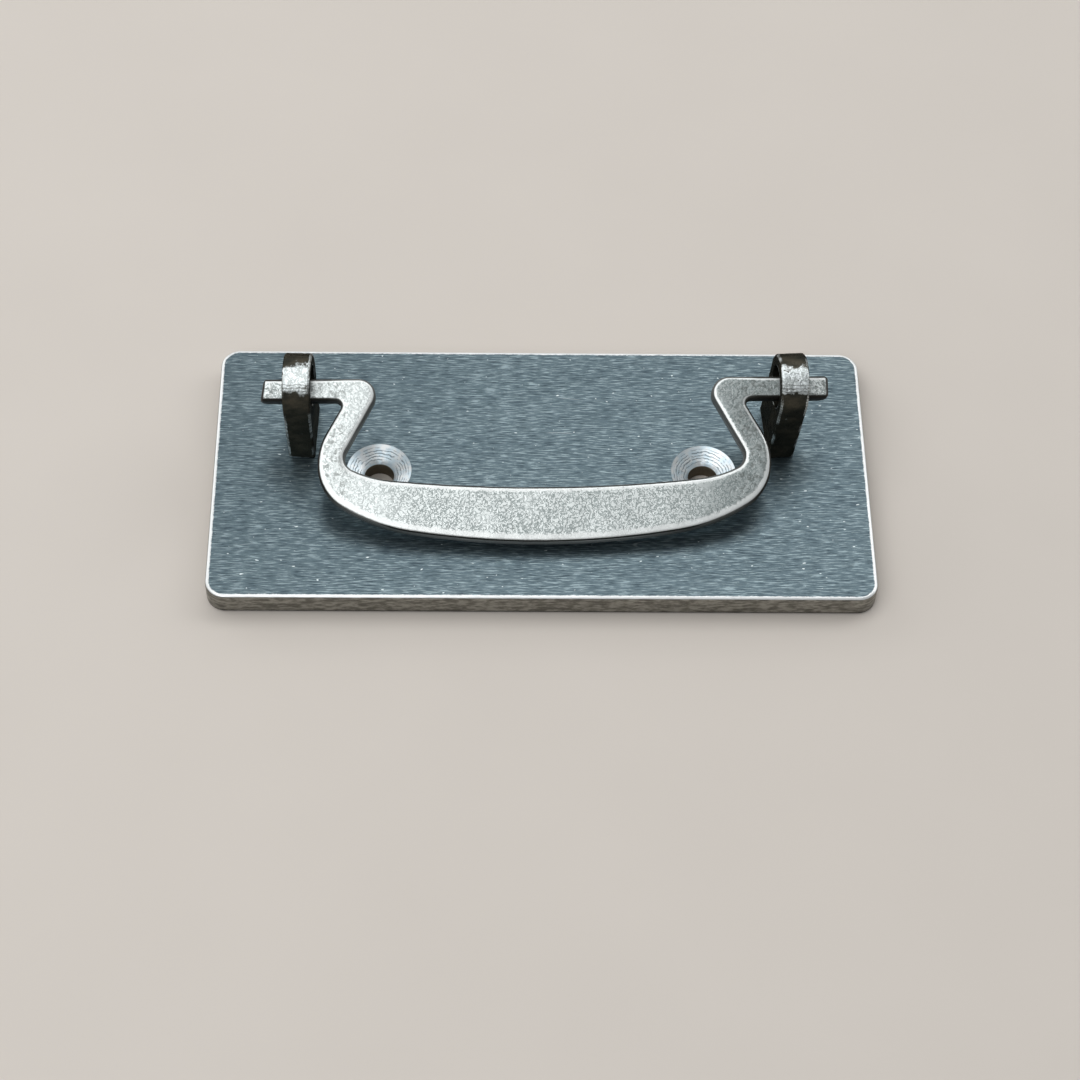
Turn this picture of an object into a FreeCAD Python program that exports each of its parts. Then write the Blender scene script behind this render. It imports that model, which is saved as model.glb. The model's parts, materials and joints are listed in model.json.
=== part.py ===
import FreeCAD, Part
import math
import os
import Sketcher
from FreeCAD import Placement, Rotation, Vector

# Drop pull: a flat back plate, two eyes riveted through it and a bail that swings in them.
# Millimetres. The origin is the middle of the plate's back face, +X runs along the plate,
# +Y points to the edge that the eyes stand near and +Z out of the plate's front.

# Driving dimensions: lengths in millimetres, angles in degrees
DIMENSIONS = {
    # back plate
    "plate_length": 151.4,
    "plate_width": 70.0,
    "plate_thickness": 6.0,
    "corner_radius": 4.5,
    "worn_edge": 0.4,
    "back_edge": 0.5,
    # screw holes
    "screw_pitch": 75.0,
    "screw_bore": 6.7,
    "countersink_mouth": 15.0,
    "countersink_angle": 118.0,
    # eyes
    "eye_pitch": 110.3,
    "left_setback": 11.0,
    "right_setback": 11.75,
    "eye_depth": 15.0,
    "eye_head_width": 6.4,
    "eye_foot_width": 6.1,
    "bore_play": 2.8,
    "bore_height": 17.5,
    "left_lean": 0.5,
    "right_lean": 1.85,
    "left_turn": -2.0,
    "right_turn": 3.5,
    "eye_worn_edge": 0.35,
    "tenon_width": 3.4,
    "tenon_depth": 9.0,
    "peened_flare": 0.8,
    # bail: reaches are measured from the swing axis towards the grip
    "bail_thickness": 4.5,
    "bail_edge_radius": 0.9,
    "arm_overhang": 9.85,
    "arm_width": 5.2,
    "arm_tip_radius": 2.6,
    "knee_inset": 12.95,
    "knee_radius": 3.9,
    "shank_width": 6.0,
    "armpit_radius": 1.2,
    "bow_shortfall": 2.3,
    "belly_inset": 3.65,
    "belly_radius": 11.5,
    "crook_radius": 3.1,
    "grip_outer_reach": 35.6,
    "grip_width": 12.8,
    "grip_inner_radius": 340.0,
    "grip_outer_radius": 190.0,
    "inner_shoulder_radius": 24.5,
    "inner_shoulder_fullness": 1.25,
    "outer_shoulder_radius": 42.0,
    "outer_shoulder_fullness": 2.0,
    # how the bail lies in the eyes
    "rest_gap": 0.25,
    "bail_shift": 0.3,
    "bail_setback": 10.95,
    "bail_skew": 0.9,
}

# Sizes that follow from the driving ones: the bores from the arms, and the bail from the eyes
FOLLOWING = {
    "eye_bore": "sqrt(arm_width^2 + bail_thickness^2) + bore_play",
    "arm_drop": "0.38 * bore_play",
    "arm_span": "eye_pitch + 2 * arm_overhang",
    "knee_centre": "eye_pitch / 2 - knee_inset",
    "belly_span": "eye_pitch - 2 * belly_inset",
    "belly_centre": "belly_span / 2 - belly_radius",
    "grip_inner_reach": "grip_outer_reach - grip_width",
    "crook_depth": "grip_inner_radius - crook_radius - inner_shoulder_fullness",
    "crook_reach": "grip_inner_reach - grip_inner_radius + sqrt(crook_depth^2 - knee_centre^2)",
    "belly_depth": "grip_outer_radius - belly_radius - outer_shoulder_fullness",
    "belly_reach": "grip_outer_reach - grip_outer_radius + sqrt(belly_depth^2 - belly_centre^2)",
    "shank_bow_radius": "belly_reach - bow_shortfall",
}

START, END, CENTRE = 1, 2, 3
ORIGIN, X_AXIS, Y_AXIS = -1, -1, -2
TOLERANCE = 1e-4

doc = FreeCAD.newDocument("DropPull")
sheet = doc.addObject("Spreadsheet::Sheet", "Sizes")


def fill_sheet():
    cells = {alias: str(value) for alias, value in DIMENSIONS.items()}
    cells.update({alias: f"={formula}" for alias, formula in FOLLOWING.items()})
    for row, (alias, content) in enumerate(cells.items(), start=1):
        sheet.set(f"A{row}", alias)
        sheet.set(f"B{row}", content)
        sheet.setAlias(f"B{row}", alias)
    doc.recompute()


def size(alias):
    return float(sheet.get(alias))


# Helpers for bodies and sketches

def new_body(label):
    body = doc.addObject("PartDesign::Body", label)
    body.Label = label
    return body


def origin_plane(body, role):
    return next(item for item in body.Origin.OriginFeatures if item.Role == role)


def new_sketch(body, name, role, offset=None):
    sketch = body.newObject("Sketcher::SketchObject", name)
    sketch.AttachmentSupport = [(origin_plane(body, role), "")]
    sketch.MapMode = "FlatFace"
    if offset:
        sketch.setExpression("AttachmentOffset.Base.z", offset)
    doc.recompute()
    return sketch


def constrain(sketch, *terms):
    return sketch.addConstraint(Sketcher.Constraint(*terms))


def dimension(sketch, kind, refs, value, expression):
    index = constrain(sketch, kind, *refs, value)
    sketch.setExpression(f"Constraints[{index}]", expression)


def add_circle(sketch, x, y, radius):
    return sketch.addGeometry(Part.Circle(Vector(x, y), Vector(0, 0, 1), radius))


def add_polygon(sketch, corners):
    points = [Vector(x, y) for x, y in corners]
    lines = [
        sketch.addGeometry(Part.LineSegment(first, second))
        for first, second in zip(points, points[1:] + points[:1])
    ]
    for line, following in zip(lines, lines[1:] + lines[:1]):
        constrain(sketch, "Coincident", line, END, following, START)
    return lines


def add_centred_rectangle(sketch, width, height, width_expression, height_expression):
    """A rectangle about the sketch's origin, driven by two expressions."""
    x, y = width / 2, height / 2
    bottom, right, top, left = add_polygon(sketch, [(-x, -y), (x, -y), (x, y), (-x, y)])
    for line in (bottom, top):
        constrain(sketch, "Horizontal", line)
    for line in (right, left):
        constrain(sketch, "Vertical", line)
    constrain(sketch, "Symmetric", bottom, START, top, START, ORIGIN, START)
    dimension(sketch, "DistanceX", (bottom, START, bottom, END), width, width_expression)
    dimension(sketch, "DistanceY", (right, START, right, END), height, height_expression)


def vertex_at(sketch, element, point):
    """Which end of a sketch element lies at a point."""
    near = sketch.getPoint(element, START).distanceToPoint(point) < TOLERANCE
    return START if near else END


def edges_where(feature, test):
    return [f"Edge{i}" for i, edge in enumerate(feature.Shape.Edges, start=1) if test(edge)]


def level(edge, axis):
    """The height of an edge along an axis, or None where it isn't level."""
    low = getattr(edge.BoundBox, f"{axis}Min")
    high = getattr(edge.BoundBox, f"{axis}Max")
    return (low + high) / 2 if high - low < TOLERANCE else None


def is_level(edge, axis, height):
    at = level(edge, axis)
    return at is not None and abs(at - height) < TOLERANCE


def dress(body, kind, name, base, edges, expression):
    """A fillet or chamfer of the named edges, driven by an expression."""
    feature = body.newObject(f"PartDesign::{kind}", name)
    feature.Base = (base, edges)
    feature.setExpression("Radius" if kind == "Fillet" else "Size", expression)
    doc.recompute()
    return feature


# Back plate

def plate_blank(body):
    sketch = new_sketch(body, "PlateOutline", "XY_Plane")
    add_centred_rectangle(
        sketch, size("plate_length"), size("plate_width"), "Sizes.plate_length", "Sizes.plate_width"
    )
    pad = body.newObject("PartDesign::Pad", "PlateBlank")
    pad.Profile = sketch
    pad.setExpression("Length", "Sizes.plate_thickness")
    doc.recompute()
    corners = edges_where(pad, lambda edge: level(edge, "X") is not None and level(edge, "Y") is not None)
    rounded = dress(body, "Fillet", "PlateCorners", pad, corners, "Sizes.corner_radius")
    front = edges_where(rounded, lambda edge: is_level(edge, "Z", size("plate_thickness")))
    worn = dress(body, "Chamfer", "WornEdge", rounded, front, "Sizes.worn_edge")
    back = edges_where(worn, lambda edge: is_level(edge, "Z", 0))
    return dress(body, "Chamfer", "BackEdge", worn, back, "Sizes.back_edge")


def screw_holes(body):
    sketch = new_sketch(body, "ScrewCentres", "XY_Plane", "Sizes.plate_thickness")
    for side in (-1, 1):
        circle = add_circle(sketch, side * size("screw_pitch") / 2, 0, size("screw_bore") / 2)
        constrain(sketch, "PointOnObject", circle, CENTRE, X_AXIS)
        ends = (ORIGIN, START, circle, CENTRE) if side > 0 else (circle, CENTRE, ORIGIN, START)
        dimension(sketch, "DistanceX", ends, size("screw_pitch") / 2, "Sizes.screw_pitch / 2")
        dimension(sketch, "Diameter", (circle,), size("screw_bore"), "Sizes.screw_bore")
    doc.recompute()
    hole = body.newObject("PartDesign::Hole", "ScrewHoles")
    hole.Profile = sketch
    hole.DepthType = "ThroughAll"
    hole.HoleCutType = "Countersink"
    hole.HoleCutCustomValues = True
    hole.setExpression("Diameter", "Sizes.screw_bore")
    hole.setExpression("HoleCutDiameter", "Sizes.countersink_mouth")
    hole.setExpression("HoleCutCountersinkAngle", "Sizes.countersink_angle")
    doc.recompute()
    return hole


def hand_of(x):
    """Which eye stands on a side of the middle."""
    return "left" if x < 0 else "right"


def tenon_slots(body):
    """Square-cornered slots for the eyes' tenons, their back mouths flared for peening."""
    sketch = new_sketch(body, "TenonSlots", "XY_Plane")
    half_width, half_depth = size("tenon_width") / 2, size("tenon_depth") / 2
    for side in (-1, 1):
        setback = f"{hand_of(side)}_setback"
        x, y = side * size("eye_pitch") / 2, size(setback)
        corners = [
            (x - half_width, y - half_depth),
            (x + half_width, y - half_depth),
            (x + half_width, y + half_depth),
            (x - half_width, y + half_depth),
        ]
        bottom, right, top, left = add_polygon(sketch, corners)
        for line in (bottom, top):
            constrain(sketch, "Horizontal", line)
        for line in (right, left):
            constrain(sketch, "Vertical", line)
        dimension(sketch, "DistanceX", (bottom, START, bottom, END), 2 * half_width, "Sizes.tenon_width")
        dimension(sketch, "DistanceY", (right, START, right, END), 2 * half_depth, "Sizes.tenon_depth")
        dimension(
            sketch, "DistanceY", (ORIGIN, START, bottom, START), y - half_depth,
            f"Sizes.{setback} - Sizes.tenon_depth / 2",
        )
        inner = (ORIGIN, START, bottom, START) if side > 0 else (bottom, END, ORIGIN, START)
        dimension(
            sketch, "DistanceX", inner, abs(x) - half_width,
            "Sizes.eye_pitch / 2 - Sizes.tenon_width / 2",
        )
    slots = body.newObject("PartDesign::Pocket", "TenonSlotCut")
    slots.Profile = sketch
    slots.Type = "ThroughAll"
    slots.Reversed = True
    doc.recompute()
    mouths = edges_where(slots, is_back_mouth)
    return dress(body, "Chamfer", "PeeningFlare", slots, mouths, "Sizes.peened_flare")


def is_back_mouth(edge):
    """An edge of a tenon slot in the plate's back face."""
    middle = edge.BoundBox.Center
    near_x = abs(abs(middle.x) - size("eye_pitch") / 2) < size("tenon_width")
    near_y = abs(middle.y - size(f"{hand_of(middle.x)}_setback")) < size("tenon_depth")
    return is_level(edge, "Z", 0) and near_x and near_y


def build_backplate():
    body = new_body("backplate")
    plate_blank(body)
    before = body.Shape.Volume
    screw_holes(body)
    tenon_slots(body)
    removed = before - body.Shape.Volume
    plain_holes = 2 * size("plate_thickness") * (
        math.pi * size("screw_bore") ** 2 / 4 + size("tenon_width") * size("tenon_depth")
    )
    if removed < plain_holes:
        raise RuntimeError("the plate's holes or slots were not cut")
    return body


# Eyes: modelled with the middle of the foot at the origin, then set on the plate

def eye_height():
    return size("bore_height") + size("eye_depth") / 2


def turned_sketch(body, name, role, hand):
    """A sketch that stands on one of the upright planes, turned about the eye's upright axis."""
    sketch = new_sketch(body, name, role)
    sketch.AttachmentOffset = Placement(Vector(), Rotation(Vector(0, 1, 0), size(f"{hand}_turn")))
    turn = f"rotationy(Sizes.{hand}_turn * 1 deg)"
    sketch.setExpression("AttachmentOffset", f"placement(vector(0; 0; 0); {turn})")
    doc.recompute()
    return sketch


def eye_side_profile(body, hand):
    """The lug's side view: upright front and back, a round head and the bore for an arm."""
    sketch = turned_sketch(body, f"{hand}_eye_side_view", "YZ_Plane", hand)
    reach, top = size("eye_depth") / 2, size("bore_height")
    foot = sketch.addGeometry(Part.LineSegment(Vector(-reach, 0), Vector(reach, 0)))
    back = sketch.addGeometry(Part.LineSegment(Vector(reach, 0), Vector(reach, top)))
    arc = Part.ArcOfCircle(Part.Circle(Vector(0, top), Vector(0, 0, 1), reach), 0, math.pi)
    head = sketch.addGeometry(arc)
    front = sketch.addGeometry(Part.LineSegment(Vector(-reach, top), Vector(-reach, 0)))
    bore = add_circle(sketch, 0, top, size("eye_bore") / 2)
    constrain(sketch, "Coincident", foot, END, back, START)
    constrain(sketch, "Tangent", back, END, head, START)
    constrain(sketch, "Tangent", head, END, front, START)
    constrain(sketch, "Coincident", front, END, foot, START)
    constrain(sketch, "Horizontal", foot)
    constrain(sketch, "Vertical", back)
    constrain(sketch, "Vertical", front)
    constrain(sketch, "Symmetric", foot, START, foot, END, ORIGIN, START)
    constrain(sketch, "Coincident", bore, CENTRE, head, CENTRE)
    dimension(sketch, "DistanceX", (foot, START, foot, END), 2 * reach, "Sizes.eye_depth")
    dimension(sketch, "DistanceY", (ORIGIN, START, head, CENTRE), top, "Sizes.bore_height")
    dimension(sketch, "Diameter", (bore,), size("eye_bore"), "Sizes.eye_bore")
    return sketch


def eye_taper(body, hand):
    """The stock beside the front view: it narrows to the foot and leans by a set amount."""
    sketch = turned_sketch(body, f"{hand}_eye_front_view", "XZ_Plane", hand)
    lean = f"{hand}_lean"
    top, lean_value = eye_height(), size(lean)
    far = size("eye_head_width") + lean_value
    for side in (-1, 1):
        foot_x = side * size("eye_foot_width") / 2
        head_x = side * size("eye_head_width") / 2 + lean_value
        corners = [(foot_x, 0), (head_x, top), (side * far, top), (side * far, 0)]
        slant, upper, outer, lower = add_polygon(sketch, corners)
        constrain(sketch, "Horizontal", upper)
        constrain(sketch, "Vertical", outer)
        constrain(sketch, "Horizontal", lower)
        constrain(sketch, "PointOnObject", slant, START, X_AXIS)
        dimension(
            sketch, "DistanceY", (slant, START, slant, END), top,
            "Sizes.bore_height + Sizes.eye_depth / 2",
        )
        foot_ends = (ORIGIN, START, slant, START) if side > 0 else (slant, START, ORIGIN, START)
        dimension(sketch, "DistanceX", foot_ends, abs(foot_x), "Sizes.eye_foot_width / 2")
        head_ends = (ORIGIN, START, slant, END) if side > 0 else (slant, END, ORIGIN, START)
        sign = "+" if side > 0 else "-"
        dimension(
            sketch, "DistanceX", head_ends, side * head_x,
            f"Sizes.eye_head_width / 2 {sign} Sizes.{lean}",
        )
        far_ends = (ORIGIN, START, upper, END) if side > 0 else (upper, END, ORIGIN, START)
        dimension(sketch, "DistanceX", far_ends, far, f"Sizes.eye_head_width + Sizes.{lean}")
    return sketch


def eye_tenon(body, name):
    """The tenon through the plate and its tail, peened out to fill the slot's flare."""
    straight = new_sketch(body, f"{name}Section", "XY_Plane")
    add_centred_rectangle(
        straight, size("tenon_width"), size("tenon_depth"), "Sizes.tenon_width", "Sizes.tenon_depth"
    )
    pad = body.newObject("PartDesign::Pad", name)
    pad.Profile = straight
    pad.Reversed = True
    pad.setExpression("Length", "Sizes.plate_thickness")
    doc.recompute()
    tail_width = size("tenon_width") + 2 * size("peened_flare")
    tail_depth = size("tenon_depth") + 2 * size("peened_flare")
    tail = new_sketch(body, f"{name}TailSection", "XY_Plane", "-Sizes.plate_thickness")
    add_centred_rectangle(
        tail, tail_width, tail_depth,
        "Sizes.tenon_width + 2 * Sizes.peened_flare", "Sizes.tenon_depth + 2 * Sizes.peened_flare",
    )
    flare = body.newObject("PartDesign::Pad", f"{name}Tail")
    flare.Profile = tail
    flare.TaperAngle = -45
    flare.setExpression("Length", "Sizes.peened_flare")
    doc.recompute()
    return flare


def build_eye(side):
    hand = hand_of(side)
    label = f"{hand}_eye"
    body = new_body(label)
    lug = body.newObject("PartDesign::Pad", f"{label}_lug")
    lug.Profile = eye_side_profile(body, hand)
    lug.SideType = "Symmetric"
    lug.setExpression("Length", f"2 * (Sizes.eye_head_width + Sizes.{hand}_lean)")
    doc.recompute()
    blank_volume = body.Shape.Volume
    taper = body.newObject("PartDesign::Pocket", f"{label}_taper")
    taper.Profile = eye_taper(body, hand)
    taper.SideType = "Symmetric"
    taper.setExpression("Length", "2 * Sizes.eye_depth")
    doc.recompute()
    if body.Shape.Volume >= blank_volume:
        raise RuntimeError("the eye's front view was not cut")
    outline = edges_where(taper, is_lug_outline)
    dress(body, "Chamfer", f"{label}_worn_edges", taper, outline, "Sizes.eye_worn_edge")
    eye_tenon(body, f"{label}_tenon")
    turn = 0 if side > 0 else 180
    body.Placement = Placement(Vector(), Rotation(Vector(0, 0, 1), turn))
    body.setExpression("Placement.Base.x", f"{side} * Sizes.eye_pitch / 2")
    body.setExpression("Placement.Base.y", f"Sizes.{hand}_setback")
    body.setExpression("Placement.Base.z", "Sizes.plate_thickness")
    doc.recompute()
    return body


def is_lug_outline(edge):
    """An edge that runs round the lug's side view, above the foot and clear of the bore."""
    box = edge.BoundBox
    from_axis = max(size("bore_height") - box.ZMin, box.ZMax - size("bore_height"))
    clear_of_bore = from_axis > size("eye_bore") / 2 + TOLERANCE
    runs_along = box.YLength + box.ZLength > size("eye_head_width")
    return runs_along and clear_of_bore and box.ZMax > TOLERANCE


# Bail: modelled flat with the swing axis along X, the grip towards -Y and the face up

def below(x, reach):
    """A point of the bail's plane, by its distance from the swing axis."""
    return Vector(x, -reach)


def circle_meeting(centre_a, radius_a, centre_b, radius_b):
    """Where two circles cross, at the crossing nearer the middle of the bail."""
    across = centre_b - centre_a
    span = across.Length
    along = (span ** 2 + radius_a ** 2 - radius_b ** 2) / (2 * span)
    aside = math.sqrt(radius_a ** 2 - along ** 2)
    across.normalize()
    foot = centre_a + across * along
    normal = Vector(-across.y, across.x)
    crossings = (foot + normal * aside, foot - normal * aside)
    return min(crossings, key=lambda point: point.x)


def normal_reaching(across, distance, toward_middle):
    """The unit vector whose run along a given vector is a set distance."""
    turn = math.acos(distance / across.Length)
    heading = math.atan2(across.y, across.x)
    pair = [Vector(math.cos(heading + s * turn), math.sin(heading + s * turn)) for s in (-1, 1)]
    return min(pair, key=lambda v: v.x) if toward_middle else max(pair, key=lambda v: v.x)


def far_point(centre, radius, towards):
    """The point of a circle that lies farthest on the way to another point."""
    way = towards - centre
    way.normalize()
    return centre + way * radius


def bail_circles():
    """The circles that the outline's arcs lie on, as centre and radius."""
    knee_radius, crook_radius = size("knee_radius"), size("crook_radius")
    belly_x = size("belly_span") / 2
    circles = {
        "knee": (below(size("knee_centre"), knee_radius - size("arm_width") / 2), knee_radius),
        "crook": (below(size("knee_centre"), size("crook_reach")), crook_radius),
        "belly": (below(size("belly_centre"), size("belly_reach")), size("belly_radius")),
        "bow": (below(belly_x - size("shank_bow_radius"), size("belly_reach")), size("shank_bow_radius")),
    }
    for side, inner in (("inner", "crook"), ("outer", "belly")):
        long_radius = size(f"grip_{side}_radius")
        bend_radius = size(f"{side}_shoulder_radius")
        centre, radius = circles[inner]
        grip = below(0, size(f"grip_{side}_reach") - long_radius)
        bend = circle_meeting(grip, long_radius - bend_radius, centre, bend_radius - radius)
        circles[f"{side}_grip"] = (grip, long_radius)
        circles[f"{side}_shoulder"] = (bend, bend_radius)
    return circles


def bail_outline():
    """Half the bail's outline as a closed chain: name, circle or None, first and last point."""
    circles = bail_circles()
    half_arm, tip = size("arm_width") / 2, size("arm_span") / 2
    knee, knee_radius = circles["knee"]
    crook, crook_radius = circles["crook"]
    bow, bow_radius = circles["bow"]
    belly, _ = circles["belly"]
    spare_width = size("shank_width") - knee_radius
    inward = normal_reaching(crook - knee, knee_radius + crook_radius, True)
    outward = normal_reaching(bow - knee, spare_width - bow_radius, False)
    pit_radius = size("armpit_radius")
    pit_y = -half_arm - pit_radius
    pit_x = knee.x + (spare_width + pit_radius - outward.y * (pit_y - knee.y)) / outward.x
    pit = Vector(pit_x, pit_y)
    circles["armpit"] = (pit, pit_radius)
    joints = [
        below(0, size("grip_inner_reach")),
        far_point(*circles["inner_grip"], circles["inner_shoulder"][0]),
        far_point(*circles["inner_shoulder"], crook),
        crook - inward * crook_radius,
        knee + inward * knee_radius,
        Vector(knee.x, half_arm),
        Vector(tip, half_arm),
        Vector(tip, -half_arm),
        Vector(pit.x, -half_arm),
        pit - outward * pit_radius,
        bow + outward * bow_radius,
        below(size("belly_span") / 2, size("belly_reach")),
        far_point(*circles["outer_shoulder"], belly),
        far_point(*circles["outer_grip"], circles["outer_shoulder"][0]),
        below(0, size("grip_outer_reach")),
    ]
    names = [
        "inner_grip", "inner_shoulder", "crook", "shank_inside", "knee", "arm_back", "arm_end",
        "arm_front", "armpit", "shank_outside", "bow", "belly", "outer_shoulder", "outer_grip", "middle",
    ]
    return [
        (name, circles.get(name), first, last)
        for name, first, last in zip(names, joints, joints[1:] + joints[:1])
    ]


def short_arc(centre, radius, first, last):
    """The arc of under half a turn between two points of a circle."""
    angles = [math.atan2(point.y - centre.y, point.x - centre.x) for point in (first, last)]
    if (angles[1] - angles[0]) % (2 * math.pi) > math.pi:
        angles.reverse()
    return Part.ArcOfCircle(Part.Circle(centre, Vector(0, 0, 1), radius), *angles)


def draw_bail_outline(sketch):
    """Draws and joins the half outline: arcs run into their neighbours, the rest has corners."""
    outline = bail_outline()
    ids = {}
    for name, circle, first, last in outline:
        shape = short_arc(*circle, first, last) if circle else Part.LineSegment(first, last)
        ids[name] = sketch.addGeometry(shape)
    for (name, circle, _, joint), following in zip(outline, outline[1:] + outline[:1]):
        smooth = (circle or following[1]) and "middle" not in (name, following[0])
        one, other = ids[name], ids[following[0]]
        constrain(
            sketch, "Tangent" if smooth else "Coincident",
            one, vertex_at(sketch, one, joint), other, vertex_at(sketch, other, joint),
        )
    return ids


def size_bail_outline(sketch, ids):
    """Binds every size of the half outline to the sheet."""
    circles = bail_circles()
    radii = {
        "inner_grip": "grip_inner_radius", "outer_grip": "grip_outer_radius",
        "inner_shoulder": "inner_shoulder_radius", "outer_shoulder": "outer_shoulder_radius",
        "crook": "crook_radius", "knee": "knee_radius", "armpit": "armpit_radius",
        "bow": "shank_bow_radius", "belly": "belly_radius",
    }
    for name, alias in radii.items():
        dimension(sketch, "Radius", (ids[name],), size(alias), f"Sizes.{alias}")
    for name in ("inner_grip", "outer_grip"):
        constrain(sketch, "PointOnObject", ids[name], CENTRE, Y_AXIS)
    middle = ids["middle"]
    for end, side in ((START, "outer"), (END, "inner")):
        constrain(sketch, "PointOnObject", middle, end, Y_AXIS)
        reach = f"grip_{side}_reach"
        dimension(sketch, "DistanceY", (middle, end, ORIGIN, START), size(reach), f"Sizes.{reach}")
    for name in ("arm_back", "arm_front"):
        constrain(sketch, "Horizontal", ids[name])
    constrain(sketch, "Symmetric", ids["arm_end"], START, ids["arm_end"], END, X_AXIS)
    dimension(
        sketch, "DistanceY", (ids["arm_end"], END, ids["arm_end"], START),
        size("arm_width"), "Sizes.arm_width",
    )
    places = [
        ("knee", "DistanceX", circles["knee"][0].x, "Sizes.knee_centre"),
        ("crook", "DistanceX", circles["crook"][0].x, "Sizes.knee_centre"),
        ("crook", "DistanceY", size("crook_reach"), "Sizes.crook_reach"),
        ("belly", "DistanceX", circles["belly"][0].x, "Sizes.belly_centre"),
        ("belly", "DistanceY", size("belly_reach"), "Sizes.belly_reach"),
        ("bow", "DistanceY", size("belly_reach"), "Sizes.belly_reach"),
    ]
    for name, kind, value, expression in places:
        centre = (ids[name], CENTRE)
        ends = (ORIGIN, START, *centre) if kind == "DistanceX" else (*centre, ORIGIN, START)
        dimension(sketch, kind, ends, value, expression)
    dimension(
        sketch, "DistanceX", (ORIGIN, START, ids["arm_end"], START),
        size("arm_span") / 2, "Sizes.arm_span / 2",
    )
    dimension(
        sketch, "Distance", (ids["knee"], CENTRE, ids["shank_outside"]),
        size("shank_width") - size("knee_radius"), "Sizes.shank_width - Sizes.knee_radius",
    )


def build_bail():
    body = new_body("bail")
    sketch = new_sketch(body, "HalfOutline", "XY_Plane")
    size_bail_outline(sketch, draw_bail_outline(sketch))
    half = body.newObject("PartDesign::Pad", "HalfBail")
    half.Profile = sketch
    half.SideType = "Symmetric"
    half.setExpression("Length", "Sizes.bail_thickness")
    doc.recompute()
    whole = body.newObject("PartDesign::Mirrored", "WholeBail")
    whole.Originals = [half]
    whole.MirrorPlane = (origin_plane(body, "YZ_Plane"), [""])
    body.Tip = whole
    doc.recompute()
    tips = edges_where(whole, is_arm_tip)
    rounded = dress(body, "Fillet", "ArmTips", whole, tips, "Sizes.arm_tip_radius")
    rims = edges_where(rounded, is_bail_rim)
    dress(body, "Fillet", "SoftEdges", rounded, rims, "Sizes.bail_edge_radius")
    hang_bail(body)
    return body


def is_arm_tip(edge):
    """The lower edge across the end of an arm."""
    at = level(edge, "X")
    at_end = at is not None and abs(abs(at) - size("arm_span") / 2) < TOLERANCE
    return at_end and is_level(edge, "Z", -size("bail_thickness") / 2)


def is_bail_rim(edge):
    """An edge of the bail's face or of its back."""
    at = level(edge, "Z")
    return at is not None and abs(abs(at) - size("bail_thickness") / 2) < TOLERANCE


def hang_bail(body):
    """Sets the bail loosely in the eyes, its grip let down until it all but rests on the plate."""
    fall = "(Sizes.bore_height - Sizes.arm_drop - Sizes.rest_gap - Sizes.bail_edge_radius)"
    long_leg = "(Sizes.grip_outer_reach - Sizes.bail_edge_radius)"
    short_leg = "(Sizes.bail_thickness / 2 - Sizes.bail_edge_radius)"
    tilt = f"asin({fall} / sqrt({long_leg}^2 + {short_leg}^2)) - atan({short_leg} / {long_leg})"
    height = "Sizes.plate_thickness + Sizes.bore_height - Sizes.arm_drop"
    middle = f"vector(Sizes.bail_shift; Sizes.bail_setback; {height})"
    body.setExpression("Placement", f"placement({middle}; rotation(Sizes.bail_skew; 0; {tilt}))")
    doc.recompute()


# Checks and export

def check_document():
    for item in doc.Objects:
        bad = [state for state in item.State if state in ("Invalid", "Error")]
        if bad:
            raise RuntimeError(f"{item.Label} is {bad[0]}")


def export(bodies):
    check_document()
    for body in bodies:
        shape = body.Shape
        if shape.isNull() or not shape.isValid() or len(shape.Solids) != 1:
            raise RuntimeError(f"{body.Label} is not one sound solid")
    os.makedirs("parts", exist_ok=True)
    for body in bodies:
        body.Shape.exportStep(f"parts/{body.Label}.step")


fill_sheet()
export([
    build_backplate(),
    build_eye(-1),
    build_eye(1),
    build_bail(),
])
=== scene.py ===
import json
import math

import bmesh
import bpy
from mathutils import Matrix, Vector, noise
from mathutils.bvhtree import BVHTree
from mathutils.kdtree import KDTree


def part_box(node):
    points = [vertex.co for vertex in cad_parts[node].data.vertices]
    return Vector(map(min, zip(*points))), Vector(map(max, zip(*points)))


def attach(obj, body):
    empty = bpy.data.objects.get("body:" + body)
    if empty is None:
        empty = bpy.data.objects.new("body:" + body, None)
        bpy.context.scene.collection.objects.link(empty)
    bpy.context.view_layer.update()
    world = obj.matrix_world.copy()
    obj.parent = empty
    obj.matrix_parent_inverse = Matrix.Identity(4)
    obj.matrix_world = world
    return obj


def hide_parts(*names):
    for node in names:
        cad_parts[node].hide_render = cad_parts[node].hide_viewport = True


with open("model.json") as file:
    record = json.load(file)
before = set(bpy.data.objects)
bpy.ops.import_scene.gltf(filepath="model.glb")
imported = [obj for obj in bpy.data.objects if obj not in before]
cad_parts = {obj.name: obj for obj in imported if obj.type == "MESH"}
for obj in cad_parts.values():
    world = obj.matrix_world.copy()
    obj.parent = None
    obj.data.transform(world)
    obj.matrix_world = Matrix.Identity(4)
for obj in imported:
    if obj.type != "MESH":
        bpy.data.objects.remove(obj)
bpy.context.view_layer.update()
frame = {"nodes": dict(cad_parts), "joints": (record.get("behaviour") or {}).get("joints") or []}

# Dresses the drop pull: a worn mesh in place of each steel part, with procedural materials, and
# a floor, lamps and a camera. Meshes are in metres, and materials work in millimetres.
MM = 0.001
X_AXIS, Y_AXIS, Z_AXIS = Vector((1, 0, 0)), Vector((0, 1, 0)), Vector((0, 0, 1))

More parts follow.
